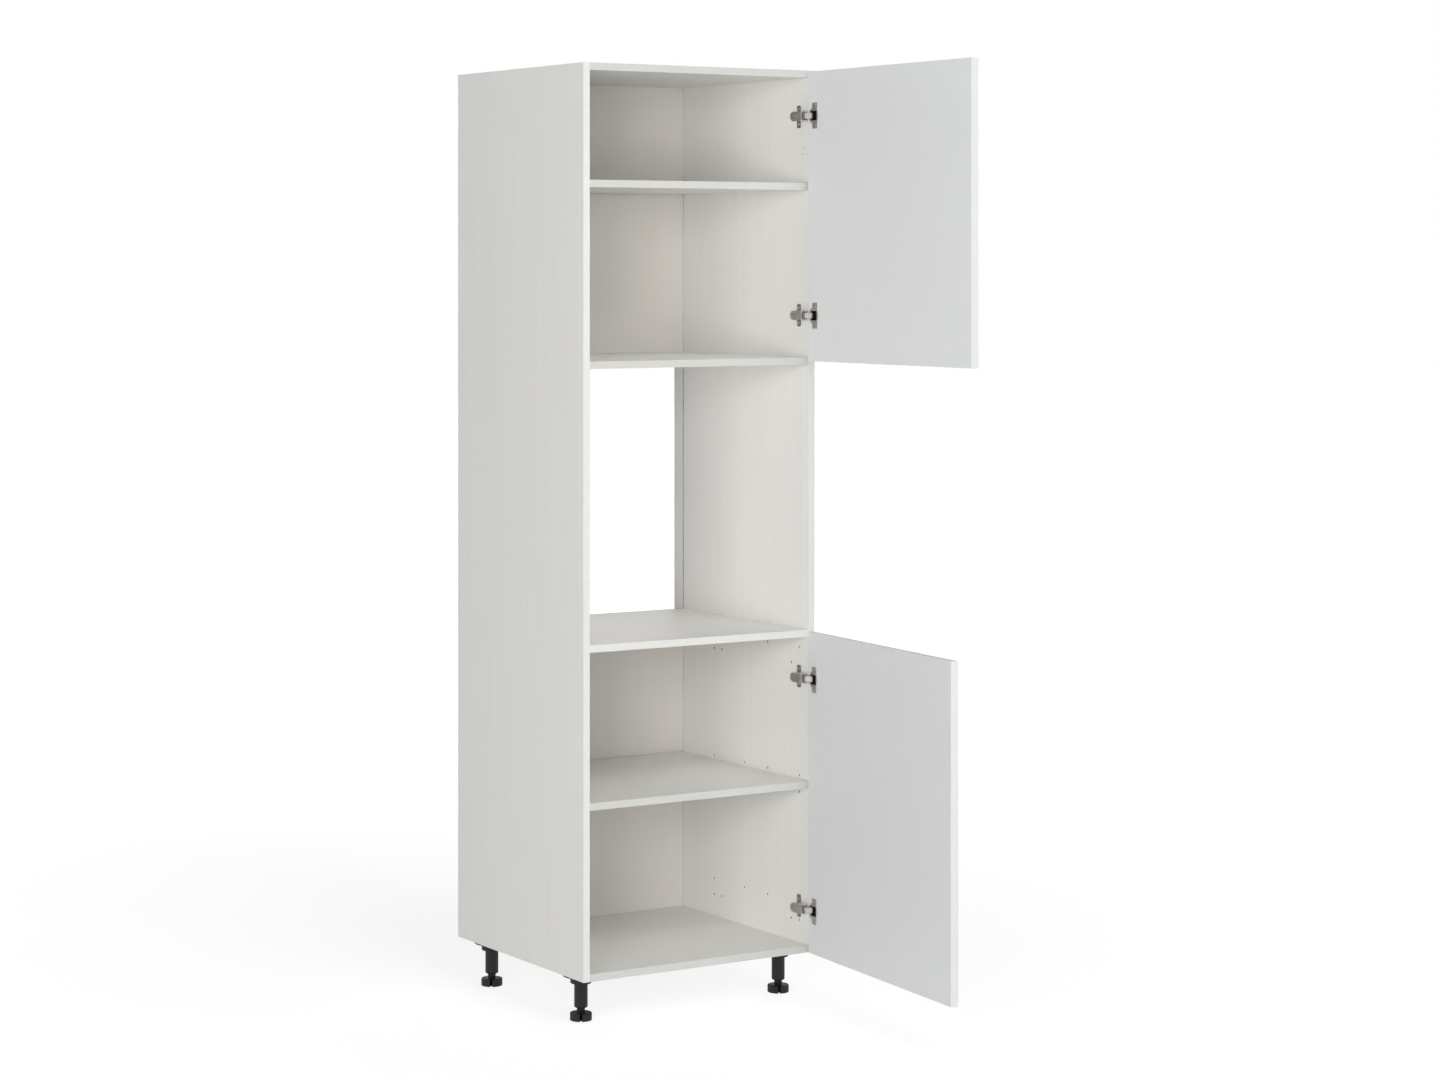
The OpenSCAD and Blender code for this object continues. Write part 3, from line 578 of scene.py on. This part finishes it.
# ---- Leg sockets and tubes ----------------------------------------------------------------------------
# Injection-moulded black plastic: a round flange screwed under the bottom board with a socket that a
# smooth tube is pushed into.
BROKEN = 32            # degrees of turn from which an edge of a fitting is broken
black_plastic = speckled("black_plastic", light=(0.011, 0.011, 0.0115), low=(0.007, 0.007, 0.0075),
                         scale=1100, rough=(0.44, 0.58), strength=0.35, distance=0.00008)
black_plastic.node_tree.nodes["Principled BSDF"].inputs["Specular IOR Level"].default_value = 0.36


def fitting(name, node, body, finishes, width, index=None):
    """a copy of a solid with its sharp edges broken"""
    bm = merged(node)
    if index:
        for face in bm.faces:
            face.material_index = index(face)
    thing = soften(piece(name, bm, finishes), width, 2, limit=BROKEN)
    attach(thing, body)
    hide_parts(node)
    return thing


fitting("leg_sockets", "leg_flanges", "carcass", (black_plastic,), width=0.0004)
fitting("leg_pipes", "leg_tubes", "carcass", (black_plastic,), width=0.0003)

# ---- Leg screws ---------------------------------------------------------------------------------------
# Sixteen zinc-plated pan-head screws, four in the pockets of each leg socket, driven up into the bottom
# board. They come from the same tree of nodes as the back screws.
screws("leg_socket_screws", "leg_flange_screws", "carcass", axis=(0, 0, -1),
       head_radius=0.0036, head_height=0.0020, shank_radius=0.00187, slot_length=0.0042)

# ---- Feet ---------------------------------------------------------------------------------------------
# A round pad of four lobes with a finely ribbed rim, moulded in one with a threaded spindle that turns up
# into the tube. The thread is one helix laid round the core by a tree of nodes.
PAD_RADIUS = 0.024
PAD_HEIGHT = 0.0170
# level, step in from the rim, and whether the rim is ribbed there, from the sole up
PAD_LEVELS = ((0.0, 0.0008, False), (0.0006, 0.0001, True), (0.0014, 0.0, True), (0.0144, 0.0, True),
              (0.0151, 0.0002, True), (0.0160, 0.0007, False), (0.0166, 0.0016, False),
              (0.01695, 0.0029, False), (PAD_HEIGHT, 0.0045, False))
NOTCH_ROOT = 0.0106              # distance of a notch's root from the middle of the pad
NOTCH_SLOPE = 0.0037 / 0.0154    # how fast half of a notch widens outwards
NOTCH_EDGE = math.radians(7.7)   # half the angle that a notch takes out of the rim
NOTCH_STEPS = (0.0, 0.25, 0.5, 0.75, 0.92)
RIBS = 11                        # ribs on the rim of one lobe
RIB_DEPTH = 0.00035
CORE = 0.0084                    # radius of the spindle inside its thread
SPINDLE_TOP = 0.070
CHAMFER = 0.0006                 # at the top of the spindle
THREAD_START = 0.0180
THREAD = {"Core Radius": CORE, "Thread Depth": 0.0008, "Pitch": 0.0025, "Length": 0.050,
          "Material": black_plastic}
# how far each foot is screwed round, in degrees
TURNS = {"front_left": 240, "front_right": 243, "rear_left": 237, "rear_right": 260}

thread_tree, given = growing_tree("spindle_thread", [
    ("Places", "Geometry"), ("Core Radius", "Float"), ("Thread Depth", "Float"), ("Pitch", "Float"),
    ("Length", "Float"), ("Material", "Material")])
rounds = calc(thread_tree, "DIVIDE", given["Length"], given["Pitch"])
helix = put(thread_tree, "GeometryNodeCurveSpiral",
            {"Resolution": 28, "Rotations": rounds, "Start Radius": given["Core Radius"],
             "End Radius": given["Core Radius"], "Height": given["Length"]})
ridge = put(thread_tree, "GeometryNodeCurvePrimitiveCircle",
            {"Resolution": 4, "Radius": given["Thread Depth"]}, mode="RADIUS")
swept = put(thread_tree, "GeometryNodeCurveToMesh",
            {"Curve": helix.outputs[0], "Profile Curve": ridge.outputs[0], "Fill Caps": True})
set_at_places(thread_tree, given, swept.outputs[0])


def lobe_angles():
    """directions round one quarter of the pad, and how deep the rim is grooved there"""
    for share in NOTCH_STEPS:
        yield NOTCH_EDGE * share, 0
    lobe = math.pi / 2 - 2 * NOTCH_EDGE
    steps = RIBS * 4
    for i in range(steps + 1):
        yield NOTCH_EDGE + lobe * i / steps, RIB_DEPTH if i % 4 == 2 and 2 < i < steps - 2 else 0
    for share in NOTCH_STEPS[:0:-1]:
        yield math.pi / 2 - NOTCH_EDGE * share, 0


def pad_reach(off_notch, depth):
    """how far the pad reaches at an angle from the nearest notch, a depth in from its rim"""
    reach = PAD_RADIUS - depth
    room = NOTCH_SLOPE * math.cos(off_notch) - math.sin(off_notch)
    return min(reach, NOTCH_ROOT * NOTCH_SLOPE / room) if room > 0 else reach


def foot(where):
    """one foot: pad and spindle as one closed shell, built ring by ring, and the thread round it"""
    node = "foot_" + where
    low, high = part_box(node)
    middle = (low + high) / 2
    directions = [(quarter * math.pi / 2 + angle, min(angle, math.pi / 2 - angle), groove)
                  for quarter in range(4) for angle, groove in lobe_angles()]
    count = len(directions)
    outlines = []
    for level, inset, ribbed in PAD_LEVELS:
        outlines.append((level, [pad_reach(off, inset + (groove if ribbed else 0))
                                 for angle, off, groove in directions]))
    for level, radius in ((PAD_HEIGHT, CORE), (SPINDLE_TOP - CHAMFER, CORE), (SPINDLE_TOP, CORE - CHAMFER)):
        outlines.append((level, [radius] * count))
    bm = bmesh.new()
    rings = []
    for level, reaches in outlines:
        ring = []
        for (angle, off, groove), reach in zip(directions, reaches):
            turned = angle + math.radians(TURNS[where])
            ring.append(bm.verts.new((middle.x + reach * math.cos(turned),
                                      middle.y + reach * math.sin(turned), level)))
        rings.append(ring)
    for below, above in zip(rings, rings[1:]):
        for i in range(count):
            j = (i + 1) % count
            bm.faces.new((below[i], below[j], above[j], above[i]))
    sole = bm.verts.new((middle.x, middle.y, 0))
    crown = bm.verts.new((middle.x, middle.y, SPINDLE_TOP))
    for i in range(count):
        j = (i + 1) % count
        bm.faces.new((rings[0][j], rings[0][i], sole))
        bm.faces.new((rings[-1][i], rings[-1][j], crown))
    bmesh.ops.recalc_face_normals(bm, faces=bm.faces)
    for face in bm.faces:
        face.smooth = True
    pad = piece("foot_pad_" + where, bm, (black_plastic,))
    pad.data.set_sharp_from_angle(angle=math.radians(30))
    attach(pad, node)
    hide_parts(node)
    grown("spindle_thread_" + where, thread_tree, [(middle.x, middle.y, THREAD_START)], (0, 0, 1), THREAD,
          node, sharp=25)


for where in TURNS:
    foot(where)

# ---- Hinge plates and their screws --------------------------------------------------------------------
# Die-cast mounting plates with two wings, darker than the arms on them and than their own screws, which
# sit in the front row of holes of the right side.
die_cast = speckled("die_cast_zinc", light=(0.40, 0.39, 0.365), low=(0.31, 0.30, 0.28),
                    scale=1300, rough=(0.38, 0.55), strength=0.2, metallic=1.0)
for where in ("upper", "lower"):
    fitting("mounting_plates_" + where, "hinge_plates_" + where, "carcass", (die_cast,),
            width=0.0003)
    screws("mounting_plate_screws_" + where, "hinge_plate_screws_" + where, "carcass", axis=(-1, 0, 0),
           head_radius=0.0044, head_height=0.0020, shank_radius=0.00247, slot_length=0.0052,
           slot_width=0.0011)

# ---- Doors --------------------------------------------------------------------------------------------
# Two slab doors, a cooler white than the carcass: smooth lacquer, a little lighter and glossier on the front,
# with round recesses milled for the hinge cups. At rest the upper stands open by 90 degrees, the lower by 85.
OPEN = {"upper": math.radians(90), "lower": math.radians(85)}
lacquer = speckled("door_lacquer", light=(0.812, 0.824, 0.824), low=(0.800, 0.812, 0.812),
                   scale=260, rough=(0.44, 0.54), strength=0.12, distance=0.00005)
door_front = speckled("door_front_lacquer", light=(0.825, 0.85, 0.845), low=(0.81, 0.835, 0.83),
                      scale=900, rough=(0.28, 0.36), strength=0.1)
for where in ("upper", "lower"):
    board("slab_door_" + where, "door_" + where, "door_" + where,
          (lacquer, door_front, raw_core), turn=OPEN[where])

# ---- Hinge cups, their screws and pins ----------------------------------------------------------------
# Die-cast cups pressed into the recesses of the doors and held by two screws each. Deep inside, where the
# lever swings, they are painted near black as painted shade, and the lever's pins cross them.
LEVER_TURN, DOOR_TURN = 40, 90             # the levers turn by 40 degrees while the door opens by 90
ARM_PIVOT = Vector((0.2655, -0.2805, 0))   # the levers' pin in the arm
CUP_PIVOT = Vector((0.2907, -0.2899, 0))   # the levers' pin in the cup, with the door closed
CUP_MIDDLE_X = 0.277                       # the middle of the cups, with the door closed
POCKET_RADIUS = 0.01718
POCKET_MOUTH, POCKET_FLOOR = 0.0005, 0.0146    # depths into the door from the front plane of the carcass
POCKET_RIM = 0.0018                        # the rim above this depth keeps the plain steel, without painted shade
steel_dark = speckled("burnished_nickel", light=(0.70, 0.685, 0.645), low=(0.58, 0.565, 0.53),
                      scale=1400, rough=(0.34, 0.50), strength=0.15, metallic=1.0)
# near black: painted shade in the deep pockets of the cups
pocket_painted_shade = speckled("cup_pocket_painted_shade", light=(0.020, 0.018, 0.015), low=(0.012, 0.011, 0.009),
                        scale=700, rough=(0.4, 0.6), strength=0.2)


def shut(point, angle):
    """where a point of an open door lies when the door is closed"""
    pivot = ARM_PIVOT + Matrix.Rotation(-angle * LEVER_TURN / DOOR_TURN, 3, "Z") @ (CUP_PIVOT - ARM_PIVOT)
    return CUP_PIVOT + Matrix.Rotation(-angle, 3, "Z") @ (Vector((point.x, point.y, 0)) - pivot)


def in_pocket(face, levels, angle):
    """1 for a face deep in the pocket of a cup, painted near black as shade, 0 for the rest"""
    for v in face.verts:
        flat = shut(v.co, angle)
        level = min(levels, key=lambda z: abs(z - v.co.z))
        away = math.hypot(flat.x - CUP_MIDDLE_X, v.co.z - level)
        if away > POCKET_RADIUS or not FRONT - POCKET_FLOOR <= flat.y <= FRONT - POCKET_MOUTH:
            return 0
    return 1 if shut(face.calc_center_median(), angle).y < FRONT - POCKET_RIM else 0


for where in ("upper", "lower"):
    levels = [middle_of(spots).z for spots in islands("hinge_cups_" + where)]
    fitting("cups_" + where, "hinge_cups_" + where, "door_" + where,
            (steel_dark, pocket_painted_shade), width=0.00022,
            index=lambda face: in_pocket(face, levels, OPEN[where]))
    out_of_door = Matrix.Rotation(OPEN[where], 3, "Z") @ Vector((0, 1, 0))
    screws("cup_screws_" + where, "hinge_cup_screws_" + where, "door_" + where, axis=out_of_door,
           head_radius=0.0034, head_height=0.0014, shank_radius=0.00172, slot_length=0.0040)
    dress("hinge_cup_pins_" + where, plated_steel)

# ---- Hinge arms ---------------------------------------------------------------------------------------
# Pressed steel arms clamped on the plates by two slotted screws, with the lever's pin through the nose
# and a closing spring on either side of the lever.
for where in ("upper", "lower"):
    fitting("arms_" + where, "hinge_arms_" + where, "carcass", (steel_dark,), width=0.00025)
    screws("arm_screws_" + where, "hinge_arm_screws_" + where, "carcass", axis=(-1, 0, 0),
           head_radius=0.0036, head_height=0.0012, shank_radius=0.00197, slot_length=0.0046)
    fitting("arm_pins_" + where, "hinge_arm_pins_" + where, "carcass", (plated_steel,),
            width=0.0002)
    fitting("closing_springs_" + where, "hinge_springs_" + where, "carcass", (plated_steel,),
            width=0.0002)

# ---- Levers -------------------------------------------------------------------------------------------
# Bright pressed steel: an outer channel and an inner bar that ride together between arm and cup. The first
# leg of the outer one, beside the arm, takes the arm's darker steel as painted shade.
FIRST_LEG = 0.0144     # distance from the arm's pin within which the outer lever takes the arm's darker steel as painted shade
bright_steel = speckled("bright_nickel", light=(0.56, 0.56, 0.545), low=(0.47, 0.47, 0.45),
                        scale=1400, rough=(0.25, 0.40), strength=0.1, metallic=1.0)


def shaded_first_leg(face):
    """1 for the lever's first leg, beside the arm, which takes painted shade, 0 for the bright rest"""
    middle = face.calc_center_median()
    return 1 if math.hypot(middle.x - ARM_PIVOT.x, middle.y - ARM_PIVOT.y) < FIRST_LEG else 0


for where in ("upper", "lower"):
    fitting("outer_levers_" + where, "hinge_outer_levers_" + where, "levers_" + where,
            (bright_steel, steel_dark), width=0.00015, index=shaded_first_leg)
    fitting("inner_levers_" + where, "hinge_inner_levers_" + where, "levers_" + where,
            (bright_steel,), width=0.00015)
